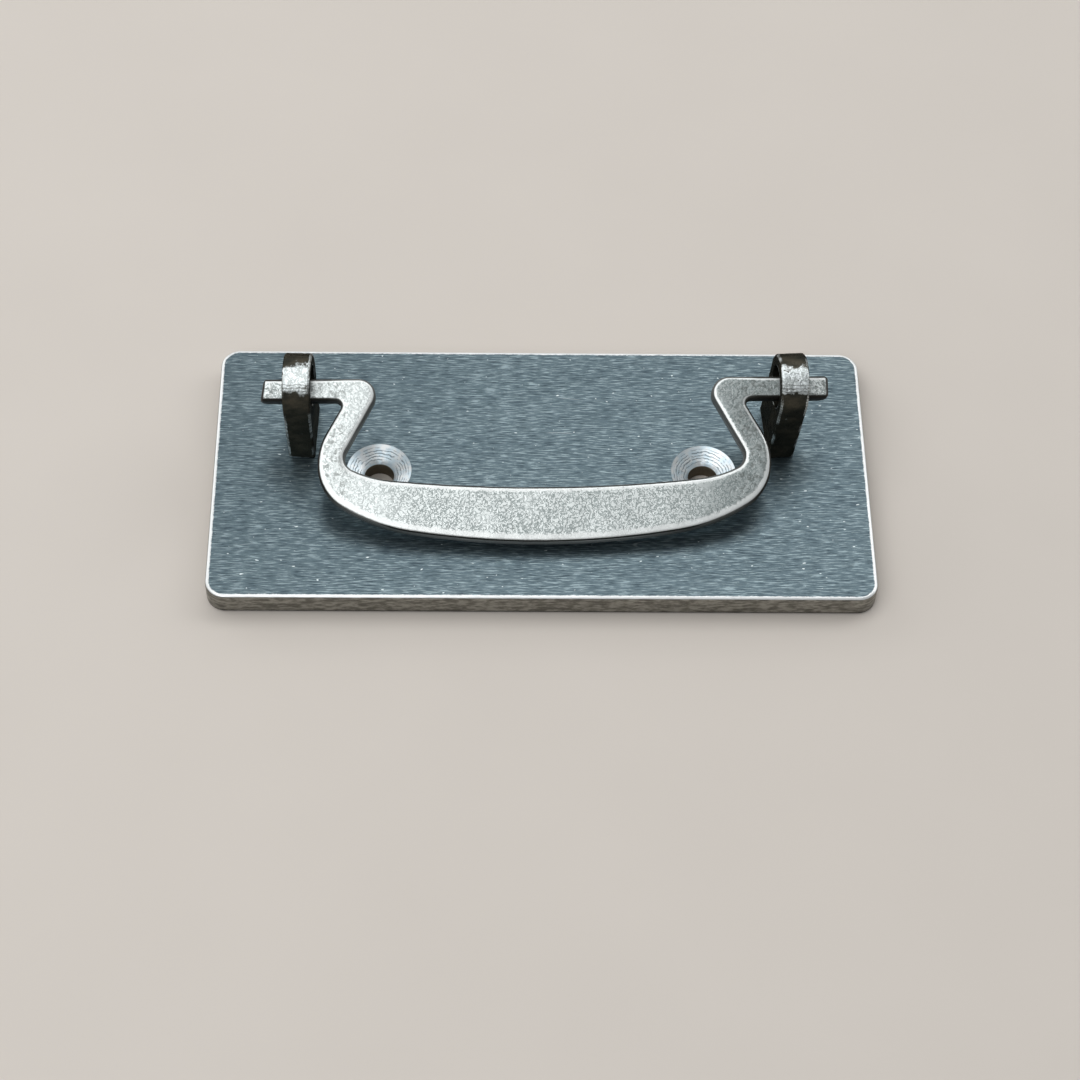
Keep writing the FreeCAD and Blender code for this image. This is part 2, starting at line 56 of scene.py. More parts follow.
# Sizes of the steel parts; heights are above the plate's back
PLATE_LENGTH = 151.4 * MM
PLATE_WIDTH = 70 * MM
PLATE_THICKNESS = 6 * MM
PLATE_CORNER = 4.5 * MM
SCREW_PITCH = 75 * MM
SCREW_BORE = 6.7 * MM
COUNTERSINK_MOUTH = 15 * MM
COUNTERSINK_FOOT = 3.5 * MM
BAIL_THICKNESS = 4.5 * MM
ARM_HALF_WIDTH = 2.6 * MM
BORE_HEIGHT = 23.5 * MM
EYE_SETBACKS = {"left_eye": 11.0 * MM, "right_eye": 11.75 * MM}
REST_TILT = math.radians(23.8878)
REST_SKEW = math.radians(0.9)
SWING_AXIS = Vector(frame["joints"][0]["pos_m"])

# How finely the parts are joined and cut again, and how far wear rolls the plate's edges
WELD_REACH = 0.002 * MM
SLIVER_WIDTH = 0.04 * MM
BAIL_SLICE = 0.8 * MM
EYE_SLICE = 0.45 * MM
ROLLED_EDGE = 0.22 * MM


def shade(red, green, blue):
    """A colour by its 0 to 255 screen values."""
    parts = [value / 255 for value in (red, green, blue)]
    return [p / 12.92 if p <= 0.04045 else ((p + 0.055) / 1.055) ** 2.4 for p in parts] + [1.0]


# Colours of the materials; a pair is the two ends of a blend
PLATE_COLOURS = {
    "skin": shade(91, 107, 114),
    "light_streak": shade(140, 157, 162),
    "dark_streak": shade(66, 80, 88),
    "mark": shade(220, 230, 232),
    "worn_edge": shade(240, 243, 243),
    "side": (shade(112, 110, 103), shade(168, 166, 158)),
    # painted contact shadow at the foot of the sides
    "contact_shadow": shade(14, 12, 11),
    "back": (shade(62, 65, 64), shade(98, 93, 84)),
    "cone": (shade(224, 241, 250), shade(250, 254, 255)),
    "tool_ring": shade(104, 122, 132),
    "bore": shade(92, 84, 70),
}
BAIL_COLOURS = {
    "face": shade(222, 228, 227),
    "mottle": shade(152, 161, 160),
    "pit": shade(134, 142, 140),
    # painted light on the left of the bail, and painted shade on its right
    "painted_left_light": shade(232, 238, 237),
    "painted_right_shade": shade(122, 132, 132),
    "scuff": shade(92, 96, 92),
    "rim": shade(240, 244, 243),
    "wall": (shade(138, 140, 138), shade(196, 200, 198)),
    # painted shade on the shank and arm walls, and a painted shade line at the walls' top
    "shank_wall_shade": shade(58, 62, 60),
    "arm_wall_shade": shade(40, 39, 35),
    "edge_shade_line": shade(24, 25, 24),
}
EYE_COLOURS = {
    "scale": (shade(60, 61, 55), shade(86, 82, 72)),
    # painted highlight on the heads, also the colour of worn edge nicks
    "highlight_and_wear": shade(230, 237, 238),
    "mottle": shade(188, 195, 194),
    "pit": shade(106, 104, 98),
    "score": shade(84, 84, 80),
    "sheen": shade(110, 110, 110),
}
FLOOR_COLOURS = (shade(205, 198, 190), shade(210, 203, 195))


# Helpers for shader nodes: each adds to a node tree and gives the output to plug in next

def plug(tree, source, target):
    """Links an output to an input, or sets the input to a plain value."""
    if isinstance(source, bpy.types.NodeSocket):
        tree.links.new(source, target)
    else:
        target.default_value = source


def add_node(tree, kind, settings=None, **inputs):
    """A node with its settings and named inputs, where an underscore stands for a space."""
    made = tree.nodes.new(kind)
    for name, value in (settings or {}).items():
        setattr(made, name, value)
    for name, value in inputs.items():
        plug(tree, value, made.inputs[name.replace("_", " ")])
    return made


def maths(tree, operation, *values):
    made = add_node(tree, "ShaderNodeMath", {"operation": operation})
    for value, target in zip(values, made.inputs):
        plug(tree, value, target)
    return made.outputs[0]


def times(tree, product, *factors):
    for factor in factors:
        product = maths(tree, "MULTIPLY", product, factor)
    return product


def opposite(tree, share):
    return maths(tree, "SUBTRACT", 1.0, share)


def fade(tree, value, low, high):
    """0 below low and 1 above high, with a smooth step between."""
    made = add_node(
        tree, "ShaderNodeMapRange", {"interpolation_type": "SMOOTHSTEP"},
        Value=value, From_Min=low, From_Max=high,
    )
    return made.outputs["Result"]


def fade_out(tree, value, low, high):
    """1 below low and 0 above high, with a smooth step between."""
    return opposite(tree, fade(tree, value, low, high))


def between(tree, value, rise, fall):
    """1 from the end of the rise to the start of the fall, and 0 outside both."""
    return times(tree, fade(tree, value, *rise), fade_out(tree, value, *fall))


def blend_colour(tree, share, first, second):
    made = add_node(tree, "ShaderNodeMix", {"data_type": "RGBA"})
    sockets = (made.inputs[0], made.inputs[6], made.inputs[7])
    for value, target in zip((share, first, second), sockets):
        plug(tree, value, target)
    return made.outputs[2]


def blend_value(tree, share, first, second):
    made = add_node(tree, "ShaderNodeMix", {"data_type": "FLOAT"})
    for value, target in zip((share, first, second), made.inputs[:1] + made.inputs[2:4]):
        plug(tree, value, target)
    return made.outputs[0]


def stretched(tree, vector, scale):
    made = add_node(tree, "ShaderNodeMapping", Vector=vector, Scale=scale)
    return made.outputs["Vector"]


def cloud(tree, vector, scale, detail=3.0, roughness=0.55, distortion=0.0):
    """A noise about 0.5."""
    made = add_node(
        tree, "ShaderNodeTexNoise",
        Vector=vector, Scale=scale, Detail=detail, Roughness=roughness, Distortion=distortion,
    )
    return made.outputs["Fac"]


def sway(tree, level, reach):
    """A noise turned into a shift to either side of 0."""
    return times(tree, maths(tree, "SUBTRACT", level, 0.5), reach)


def contour(tree, level, low, high):
    """Thin lines where a noise passes through 0.5."""
    off_line = maths(tree, "ABSOLUTE", maths(tree, "SUBTRACT", level, 0.5))
    return fade_out(tree, off_line, low, high)


def bump(tree, height, strength, depth):
    made = add_node(tree, "ShaderNodeBump", Strength=strength, Distance=depth, Height=height)
    return made.outputs["Normal"]


# Shared surface effects, as node groups that take positions in millimetres

def new_group(name, inputs, outputs):
    """A node group, with the sockets inside it that give its inputs and take its outputs."""
    tree = bpy.data.node_groups.new(name, "ShaderNodeTree")
    for label, kind in inputs:
        tree.interface.new_socket(label, in_out="INPUT", socket_type=kind)
    for label in outputs:
        tree.interface.new_socket(label, in_out="OUTPUT", socket_type="NodeSocketFloat")
    given, out = tree.nodes.new("NodeGroupInput"), tree.nodes.new("NodeGroupOutput")
    return tree, given.outputs, out.inputs


def place_group(tree, group, **inputs):
    made = tree.nodes.new("ShaderNodeGroup")
    made.node_tree = group
    for name, value in inputs.items():
        plug(tree, value, made.inputs[name])
    return made.outputs


def make_ragged_edge():
    """A band along an edge with an uneven border, for metal worn bright."""
    tree, given, out = new_group(
        "ragged_edge",
        [("Place", "NodeSocketVector"), ("Distance", "NodeSocketFloat"),
         ("Reach", "NodeSocketFloat"), ("Raggedness", "NodeSocketFloat")],
        ["Mask"],
    )
    wander = cloud(tree, given["Place"], 0.9, detail=4.0, roughness=0.65)
    near = maths(tree, "ADD", given["Distance"], sway(tree, wander, given["Raggedness"]))
    start = times(tree, given["Reach"], 0.72)
    plug(tree, fade_out(tree, near, start, given["Reach"]), out["Mask"])
    return tree


def make_pits():
    """Fine mottling with a few deeper pits, and the height that they leave."""
    tree, given, out = new_group(
        "pits",
        [("Place", "NodeSocketVector"), ("Scale", "NodeSocketFloat")],
        ["Mottle", "Pits", "Height"],
    )
    place, scale = given["Place"], given["Scale"]
    fine = cloud(tree, place, scale, detail=2.0, roughness=0.6, distortion=0.3)
    drift = cloud(tree, place, times(tree, scale, 0.13), detail=2.0)
    worms = contour(tree, fine, 0.015, 0.085)
    plug(tree, times(tree, worms, fade(tree, drift, 0.12, 0.48)), out["Mottle"])
    level = maths(tree, "ADD", fine, sway(tree, drift, 0.3))
    plug(tree, fade(tree, level, 0.64, 0.72), out["Pits"])
    plug(tree, fade_out(tree, level, 0.4, 0.72), out["Height"])
    return tree


def make_streaks():
    """Short wavy streaks of a brushed skin along X, with bright flecks and stray scratches."""
    tree, given, out = new_group(
        "streaks",
        [("Place", "NodeSocketVector")],
        ["Light", "Dark", "Flecks", "Scratches", "Height"],
    )
    place = given["Place"]
    lanes = stretched(tree, place, (0.3, 3.7, 1.0))
    strands = cloud(tree, lanes, 1.0, roughness=0.6, distortion=0.22)
    broad = cloud(tree, stretched(tree, place, (0.05, 0.2, 1.0)), 1.0)
    level = maths(tree, "ADD", strands, sway(tree, broad, 0.12))
    plug(tree, fade(tree, level, 0.51, 0.63), out["Light"])
    plug(tree, fade_out(tree, level, 0.34, 0.47), out["Dark"])
    plug(tree, level, out["Height"])
    spots = cloud(tree, stretched(tree, place, (0.6, 1.3, 1.0)), 1.0, detail=1.0)
    plug(tree, fade(tree, spots, 0.74, 0.78), out["Flecks"])
    path = cloud(tree, stretched(tree, place, (0.02, 0.09, 1.0)), 1.0, detail=0.0)
    stretch = fade(tree, cloud(tree, place, 0.06, detail=1.0), 0.67, 0.7)
    plug(tree, times(tree, contour(tree, path, 0.0005, 0.0035), stretch), out["Scratches"])
    return tree


RAGGED_EDGE = make_ragged_edge()
PITS = make_pits()
STREAKS = make_streaks()


def new_material(name):
    """A material, its node tree and the inputs of its only shader."""
    material = bpy.data.materials.new(name)
    material.use_nodes = True
    tree = material.node_tree
    tree.nodes.clear()
    shader = tree.nodes.new("ShaderNodeBsdfPrincipled")
    output = tree.nodes.new("ShaderNodeOutputMaterial")
    tree.links.new(shader.outputs["BSDF"], output.inputs["Surface"])
    return material, tree, shader.inputs


def place_in_mm(tree):
    place = tree.nodes.new("ShaderNodeTexCoord").outputs["Object"]
    return stretched(tree, place, (1 / MM, 1 / MM, 1 / MM))


def attribute(tree, name):
    return add_node(tree, "ShaderNodeAttribute", {"attribute_name": name}).outputs["Fac"]


# Back plate: blue-grey skin, worn edges, brown sides with a painted contact shadow at their foot,
# and turned countersinks

def plate_material():
    material, tree, surface = new_material("plate_skin")
    place = place_in_mm(tree)
    axes = add_node(tree, "ShaderNodeSeparateXYZ", Vector=place).outputs
    height = axes["Z"]
    streaks = place_group(tree, STREAKS, Place=place)
    flank_top = (PLATE_THICKNESS - ROLLED_EDGE) / MM
    flank = fade_out(tree, height, flank_top - 0.14, flank_top)
    inward = times(tree, edge_distance(tree, axes), -1.0)
    worn = place_group(
        tree, RAGGED_EDGE, Place=place, Distance=inward, Reach=0.95, Raggedness=0.55
    )["Mask"]
    worn = times(tree, worn, opposite(tree, flank))
    hole, bore, countersink = screw_hole_masks(tree, axes)
    turned, grooves = turned_cone(tree, place, hole)
    turned = blend_colour(tree, bore, turned, PLATE_COLOURS["bore"])

    rust = cloud(tree, stretched(tree, place, (0.5, 0.5, 1.6)), 1.0, detail=4.0)
    side = blend_colour(tree, fade(tree, rust, 0.35, 0.68), *PLATE_COLOURS["side"])
    back = blend_colour(tree, fade(tree, rust, 0.38, 0.64), *PLATE_COLOURS["back"])
    # Painted contact shadow: the lowest millimetre of the sides turns near black, where the plate
    # meets the floor
    contact_shade = times(tree, fade_out(tree, height, 0.4, 1.0), 0.95)
    colour = brushed_colour(tree, streaks)
    colour = blend_colour(tree, worn, colour, PLATE_COLOURS["worn_edge"])
    colour = blend_colour(tree, flank, colour, side)
    colour = blend_colour(tree, contact_shade, colour, PLATE_COLOURS["contact_shadow"])
    colour = blend_colour(tree, fade_out(tree, height, 0.01, 0.05), colour, back)
    plug(tree, blend_colour(tree, countersink, colour, turned), surface["Base Color"])

    metal = blend_value(tree, worn, 0.9, 0.5)
    plug(tree, blend_value(tree, countersink, metal, 0.6), surface["Metallic"])
    dull = blend_value(tree, streaks["Dark"], 0.3, 0.38)
    dull = blend_value(tree, worn, dull, 0.3)
    dull = blend_value(tree, flank, dull, 0.5)
    plug(tree, blend_value(tree, countersink, dull, 0.42), surface["Roughness"])
    relief = blend_value(tree, countersink, streaks["Height"], times(tree, grooves, -0.6))
    plug(tree, bump(tree, relief, 0.5, 0.12 * MM), surface["Normal"])
    return material


def brushed_colour(tree, streaks):
    """The skin of the plate's front, with its flecks and scratches."""
    skin, light = PLATE_COLOURS["skin"], PLATE_COLOURS["light_streak"]
    skin = blend_colour(tree, streaks["Light"], skin, light)
    skin = blend_colour(tree, streaks["Dark"], skin, PLATE_COLOURS["dark_streak"])
    scratches = times(tree, streaks["Scratches"], 0.6)
    marks = maths(tree, "MAXIMUM", streaks["Flecks"], scratches)
    return blend_colour(tree, marks, skin, PLATE_COLOURS["mark"])


def screw_hole_masks(tree, axes):
    """The distance from the nearer hole's middle, its bore, and its bore and cone together."""
    bore_radius, mouth_radius = SCREW_BORE / MM / 2, COUNTERSINK_MOUTH / MM / 2
    foot = COUNTERSINK_FOOT / MM
    hole = hole_distance(tree, axes)
    bore = fade_out(tree, hole, bore_radius + 0.05, bore_radius + 0.15)
    above_foot = maths(tree, "MAXIMUM", fade(tree, axes["Z"], foot - 0.4, foot - 0.1), bore)
    within_mouth = fade_out(tree, hole, mouth_radius - 0.08, mouth_radius + 0.05)
    return hole, bore, times(tree, within_mouth, above_foot)


def turned_cone(tree, place, hole):
    """A countersink's bright cone with a few broken tool rings between two clean bands."""
    ring_spacing = 0.31
    wander = maths(tree, "ADD", hole, sway(tree, cloud(tree, place, 0.7), 0.9))
    rings = fade_out(tree, maths(tree, "PINGPONG", wander, ring_spacing), 0.03, 0.15)
    ringed = between(tree, hole, (4.0, 4.4), (6.6, 7.0))
    broken = fade(tree, cloud(tree, place, 0.42), 0.36, 0.5)
    grooves = times(tree, rings, ringed, broken)
    tint = fade(tree, cloud(tree, place, 0.5), 0.35, 0.65)
    bare = blend_colour(tree, tint, *PLATE_COLOURS["cone"])
    turned = blend_colour(tree, times(tree, grooves, 0.85), bare, PLATE_COLOURS["tool_ring"])
    return turned, grooves


def edge_distance(tree, axes):
    """Millimetres from the plate's rounded outline, negative inside it."""
    corner = PLATE_CORNER / MM
    past = []
    for axis, length in (("X", PLATE_LENGTH), ("Y", PLATE_WIDTH)):
        reach = maths(tree, "ABSOLUTE", axes[axis])
        past.append(maths(tree, "SUBTRACT", reach, length / MM / 2 - corner))
    outside = [maths(tree, "MAXIMUM", value, 0.0) for value in past]
    squares = [times(tree, value, value) for value in outside]
    around = maths(tree, "SQRT", maths(tree, "ADD", *squares))
    within = maths(tree, "MINIMUM", maths(tree, "MAXIMUM", *past), 0.0)
    return maths(tree, "SUBTRACT", maths(tree, "ADD", around, within), corner)


def hole_distance(tree, axes):
    """Millimetres from the nearer screw hole's middle."""
    sideways = maths(tree, "ABSOLUTE", axes["X"])
    along = maths(tree, "SUBTRACT", sideways, SCREW_PITCH / MM / 2)
    squares = [times(tree, value, value) for value in (along, axes["Y"])]
    return maths(tree, "SQRT", maths(tree, "ADD", *squares))


# Bail: pale pitted steel with rims rubbed smooth and darker walls. Its mesh tells how far a
# place is from the outline ("rim"), how much it belongs to a wall ("side") and its height over
# the middle of the bail's thickness ("depth").

def bail_material():
    material, tree, surface = new_material("pale_pitted_steel")
    place = place_in_mm(tree)
    across = add_node(tree, "ShaderNodeSeparateXYZ", Vector=place).outputs["X"]
    outward = maths(tree, "ABSOLUTE", across)
    pits = place_group(tree, PITS, Place=place, Scale=1.15)
    side = attribute(tree, "side")
    rim = place_group(
        tree, RAGGED_EDGE,
        Place=place, Distance=attribute(tree, "rim"), Reach=1.7, Raggedness=1.5,
    )["Mask"]
    rim = times(tree, rim, opposite(tree, side))
    face = bail_face_colour(tree, place, across, outward, pits)
    face = blend_colour(tree, times(tree, rim, 0.88), face, BAIL_COLOURS["rim"])
    wall = bail_wall_colour(tree, place, outward)
    plug(tree, blend_colour(tree, side, face, wall), surface["Base Color"])
    metal = blend_value(tree, rim, 0.9, 0.5)
    plug(tree, blend_value(tree, side, metal, 0.5), surface["Metallic"])
    dull = blend_value(tree, pits["Mottle"], 0.4, 0.5)
    dull = blend_value(tree, rim, dull, 0.34)
    plug(tree, blend_value(tree, side, dull, 0.55), surface["Roughness"])
    relief = times(tree, pits["Height"], opposite(tree, times(tree, rim, 0.7)))
    plug(tree, bump(tree, relief, 0.4, 0.08 * MM), surface["Normal"])
    return material


def bail_face_colour(tree, place, across, outward, pits):
    """Mottled steel, with painted light on the left knee and shank, painted shade on the right and
    scuffs at the ends.
    """
    face = blend_colour(tree, pits["Mottle"], BAIL_COLOURS["face"], BAIL_COLOURS["mottle"])
    face = blend_colour(tree, pits["Pits"], face, BAIL_COLOURS["pit"])
    # Painted light: the left knee and shank are lightened
    painted_left_light = between(tree, across, (-58, -50), (-44, -24))
    face = blend_colour(tree, times(tree, painted_left_light, 0.5), face, BAIL_COLOURS["painted_left_light"])
    # Painted shade: the right shank, knee and arm are darkened
    right_shade_share = between(tree, across, (28, 44), (58, 63))
    face = blend_colour(tree, times(tree, right_shade_share, 0.6), face, BAIL_COLOURS["painted_right_shade"])
    scuffs = fade(tree, cloud(tree, place, 0.8, distortion=0.9), 0.51, 0.6)
    scuffed = times(tree, scuffs, fade(tree, outward, 40, 47))
    return blend_colour(tree, times(tree, scuffed, 0.5), face, BAIL_COLOURS["scuff"])


def bail_wall_colour(tree, place, outward):
    """Ground walls with lengthwise bands, with painted shade that darkens them on the shanks and
    arms, and a painted shade line along their top on the grip and inner shanks.
    """
    depth = attribute(tree, "depth")
    layers = add_node(tree, "ShaderNodeCombineXYZ", X=times(tree, depth, 2.6)).outputs[0]
    lengthwise = add_node(tree, "ShaderNodeVectorMath", {"operation": "ADD"})
    plug(tree, layers, lengthwise.inputs[0])
    plug(tree, stretched(tree, place, (0.12, 0.12, 0.12)), lengthwise.inputs[1])
    bands = fade(tree, cloud(tree, lengthwise.outputs[0], 1.0), 0.45, 0.66)
    wall = blend_colour(tree, bands, *BAIL_COLOURS["wall"])
    # Painted shade: the walls darken on the shanks and turn near black on the arms
    on_shank = times(tree, fade(tree, outward, 20, 34), 0.65)
    wall = blend_colour(tree, on_shank, wall, BAIL_COLOURS["shank_wall_shade"])
    wall = blend_colour(tree, fade(tree, outward, 43, 50), wall, BAIL_COLOURS["arm_wall_shade"])
    # Painted shade: a dark line along the top of the walls on the grip and inner shanks
    near_top = fade(tree, depth, 1.72, 1.94)
    edge_shade_line = maths(tree, "SUBTRACT", near_top, fade(tree, outward, 34, 38))
    return blend_colour(tree, edge_shade_line, wall, BAIL_COLOURS["edge_shade_line"])


# Eyes: dark forged scale with a painted highlight on the front of the heads. Their meshes tell how
# much painted highlight a place takes ("head_highlight"), its angle about the bore in tens of
# degrees ("lean") and how far it is from a sharp edge ("edge").

def eye_material():
    material, tree, surface = new_material("dark_forged_scale")
    place = place_in_mm(tree)
    shift = sway(tree, cloud(tree, place, 0.5, detail=4.0, roughness=0.6), 2.0)
    # Painted highlight: the front of each head is painted bright where its faces point up; worn
    # edge nicks join it
    painted_highlight = fade(tree, maths(tree, "ADD", attribute(tree, "head_highlight"), shift), 0.34, 0.66)
    nicks = place_group(
        tree, RAGGED_EDGE,
        Place=place, Distance=attribute(tree, "edge"), Reach=0.26, Raggedness=0.6,
    )["Mask"]
    patches = fade(tree, cloud(tree, place, 0.13, detail=2.0), 0.48, 0.6)
    bright = maths(tree, "MAXIMUM", painted_highlight, times(tree, nicks, patches, 0.8))
    pits = place_group(tree, PITS, Place=place, Scale=0.8)
    blotch = cloud(tree, stretched(tree, place, (0.2, 0.3, 0.35)), 1.0, detail=4.0)
    scale = blend_colour(tree, fade(tree, blotch, 0.38, 0.7), *EYE_COLOURS["scale"])
    highlight_and_wear = highlight_colour(tree, shift, pits)
    plug(tree, blend_colour(tree, bright, scale, highlight_and_wear), surface["Base Color"])
    surface["Specular Tint"].default_value = EYE_COLOURS["sheen"]
    plug(tree, blend_value(tree, bright, 0.9, 0.8), surface["Metallic"])
    plug(tree, blend_value(tree, bright, 0.46, 0.4), surface["Roughness"])
    plug(tree, bump(tree, pits["Height"], 0.5, 0.12 * MM), surface["Normal"])
    return material


def highlight_colour(tree, shift, pits):
    """The painted highlight on an eye's head, which its worn edge nicks share, scored across on its
    front part.
    """
    highlight_and_wear = blend_colour(tree, pits["Mottle"], EYE_COLOURS["highlight_and_wear"], EYE_COLOURS["mottle"])
    highlight_and_wear = blend_colour(tree, pits["Pits"], highlight_and_wear, EYE_COLOURS["pit"])
    score_spacing = 0.3
    bend = maths(tree, "ADD", attribute(tree, "lean"), times(tree, shift, 0.35))
    scores = fade_out(tree, maths(tree, "PINGPONG", bend, score_spacing), 0.03, 0.12)
    scores = times(tree, scores, fade(tree, bend, 3.0, 3.8), 0.7)
    return blend_colour(tree, scores, highlight_and_wear, EYE_COLOURS["score"])


# Pieces made from the steel parts, cut finer and worn

def welded(node):
    """A mesh of a part with its loose triangles joined and its flats made whole."""
    mesh = bmesh.new()
    mesh.from_mesh(frame["nodes"][node].data)
    bmesh.ops.remove_doubles(mesh, verts=mesh.verts, dist=WELD_REACH)
    bmesh.ops.dissolve_limit(
        mesh, angle_limit=math.radians(0.2), verts=mesh.verts, edges=mesh.edges
    )
    return mesh


def slice_evenly(mesh, axis, low, high, step):
    """Cuts a mesh at even steps along an axis."""
    count = max(1, round((high - low) / step))
    for index in range(1, count):
        place = low + (high - low) * index / count
        bmesh.ops.bisect_plane(
            mesh, geom=mesh.verts[:] + mesh.edges[:] + mesh.faces[:], dist=1e-7,
            plane_co=axis * place, plane_no=axis,
        )


def add_values(mesh, name, values):
    """Writes one number for each vertex, for a material to read."""
    layer = mesh.verts.layers.float.new(name)
    for vert, value in zip(mesh.verts, values):
        vert[layer] = value


def ramp(value, low, high):
    """0 up to low and 1 from high on, with a straight line between."""
    return min(1.0, max(0.0, (value - low) / (high - low)))


def finish_piece(mesh, name, node, body, material, is_flat=None):
    """Makes a mesh into the scene's piece that stands in for a part."""
    bmesh.ops.triangulate(mesh, faces=mesh.faces)
    bmesh.ops.recalc_face_normals(mesh, faces=mesh.faces)
    for face in mesh.faces:
        face.smooth = not (is_flat and is_flat(face))
    data = bpy.data.meshes.new(name)
    mesh.to_mesh(data)
    mesh.free()
    data.materials.append(material)
    piece = bpy.data.objects.new(name, data)
    bpy.context.scene.collection.objects.link(piece)
    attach(piece, body)
    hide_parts(node)


def make_plate(material):
    """The plate with the broken edges of its outline rolled round by wear."""
    mesh = welded("backplate")
    outline = [edge for edge in mesh.edges if is_broken_edge(edge)]
    bmesh.ops.bevel(
        mesh, geom=outline, offset=ROLLED_EDGE, offset_type="OFFSET", segments=3, profile=0.5,
        affect="EDGES", material=-1, clamp_overlap=True,
    )
    finish_piece(
        mesh, "worn_plate", "backplate", "fixed_plate", material, is_plate_flat
    )


def is_broken_edge(edge):
    """One of the two edges that a chamfer leaves round the front of the plate."""
    if len(edge.link_faces) != 2:
        return False
    corner_inset = 2.4 * MM
    middle = (edge.verts[0].co + edge.verts[1].co) / 2
    beyond = max(abs(middle.x) - PLATE_LENGTH / 2, abs(middle.y) - PLATE_WIDTH / 2)
    on_front_outline = beyond > -corner_inset and middle.z > PLATE_THICKNESS / 2
    return on_front_outline and math.radians(30) < edge.calc_face_angle() < math.radians(60)


def is_plate_flat(face):
    return max(abs(part) for part in face.normal) > 0.9999


def make_bail(material):
    """The bail laid flat, sliced fine, marked and worn, and laid back at rest."""
    mesh = welded("bail")
    rest = (
        Matrix.Translation(SWING_AXIS)
        @ Matrix.Rotation(REST_SKEW, 4, "Z")
        @ Matrix.Rotation(REST_TILT, 4, "X")
    )
    mesh.transform(rest.inverted())
    low = Vector([min(v.co[i] for v in mesh.verts) for i in range(3)])
    high = Vector([max(v.co[i] for v in mesh.verts) for i in range(3)])
    slice_evenly(mesh, X_AXIS, low.x, high.x, BAIL_SLICE)
    slice_evenly(mesh, Y_AXIS, low.y, high.y, BAIL_SLICE)
    bmesh.ops.remove_doubles(mesh, verts=mesh.verts, dist=SLIVER_WIDTH)
    mesh.normal_update()
    wear_bail(mesh, mark_bail(mesh), high.x)
    mesh.transform(rest)
    finish_piece(mesh, "worn_bail", "bail", "swinging_bail", material)


def mark_bail(mesh):
    """Writes what the bail's material reads, and gives each vertex's distance from the rim."""
    walls = wall_tree([face for face in mesh.faces if abs(face.normal.z) < 0.05])
    rim, side = [], []
    for vert in mesh.verts:
        flat = Vector((vert.co.x, vert.co.y, 0))
        _, facing, _, distance = walls.find_nearest(flat)
        rim.append(distance / MM * rim_thinness(vert.co, facing))
        face_start = 0.92 + 0.06 * on_arm(vert.co)
        side.append(1 - ramp(abs(vert.normal.z), face_start - 0.08, face_start))
    add_values(mesh, "rim", rim)
    add_values(mesh, "side", side)
    add_values(mesh, "depth", [vert.co.z / MM for vert in mesh.verts])
    return rim


def wall_tree(walls):
    """A search tree of a mesh's wall faces."""
    points, faces = [], []
    for face in walls:
        faces.append(range(len(points), len(points) + len(face.verts)))
        points.extend(vert.co.copy() for vert in face.verts)
    return BVHTree.FromPolygons(points, faces)


def on_arm(place):
    """1 on the straight arms, and 0 on the knees, the shanks and the grip."""
    return ramp(abs(place.x) / MM, 45, 49) * ramp(place.y / MM, -5, -3)


def rim_thinness(place, facing):
    """1 for the worn rim of the grip, and more on the shanks and arms, where it's narrower."""
    on_grip = ramp(-place.y / MM, 14, 22)
    arm = on_arm(place)
    return (1.45 - 0.45 * on_grip + 0.85 * arm) * (1 + (0.2 - 0.6 * arm) * facing.y)


def wear_bail(mesh, rim, tip):
    """Eases the rims, gives the skin slight dents and works the ends of the arms."""
    ease_depth, ease_width = 0.16 * MM, 2.4
    normals = [vert.normal.copy() for vert in mesh.verts]
    for vert, distance, outward in zip(mesh.verts, rim, normals):
        ease = ease_depth * max(0.0, 1 - distance / ease_width) ** 2
        vert.co.z -= math.copysign(ease, vert.co.z) * min(1.0, abs(vert.co.z) / MM)
        vert.co += outward * (noise.noise(vert.co * 260) * 0.05 - 0.03) * MM
        ease_arm_end(vert, tip)


def ease_arm_end(vert, tip):
    """Rounds the corners of an arm's end; the left end is cut a little out of square."""
    inset, cut_length = 1.1 * MM, 3 * MM
    past = Vector((abs(vert.co.x) - (tip - inset), abs(vert.co.y) - (ARM_HALF_WIDTH - inset)))
    if past.x > 0 and past.y > 0 and past.length > inset:
        past *= inset / past.length
        vert.co.x = math.copysign(tip - inset + past.x, vert.co.x)
        vert.co.y = math.copysign(ARM_HALF_WIDTH - inset + past.y, vert.co.y)
    if vert.co.x < -(tip - cut_length):
        share = (-vert.co.x - (tip - cut_length)) / cut_length
        height = vert.co.z / BAIL_THICKNESS + 0.5
        width = vert.co.y / (2 * ARM_HALF_WIDTH) + 0.5
        vert.co.x += share * (0.7 * height + 0.8 * width) * MM


def make_eye(node, material):
    """An eye with hammered, rounded edges, marked for the painted highlight on its head and for its
    worn edges.
    """
    mesh = welded(node)
    for axis, low, high in zip((X_AXIS, Y_AXIS, Z_AXIS), *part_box(node)):
        slice_evenly(mesh, axis, low, high, EYE_SLICE)
    corners = edge_points(mesh)
    bmesh.ops.smooth_vert(
        mesh, verts=above_plate(mesh), factor=0.5, use_axis_x=True, use_axis_y=True, use_axis_z=True
    )
    mesh.normal_update()
    mark_eye(mesh, Vector((0, EYE_SETBACKS[node], BORE_HEIGHT)), corners)
    for vert, outward in [(v, v.normal.copy()) for v in above_plate(mesh)]:
        dent = noise.noise(vert.co * 160) * 0.06 + noise.noise(vert.co * 700) * 0.02 - 0.06
        vert.co += outward * dent * MM
    finish_piece(mesh, f"forged_{node}", node, "fixed_plate", material)


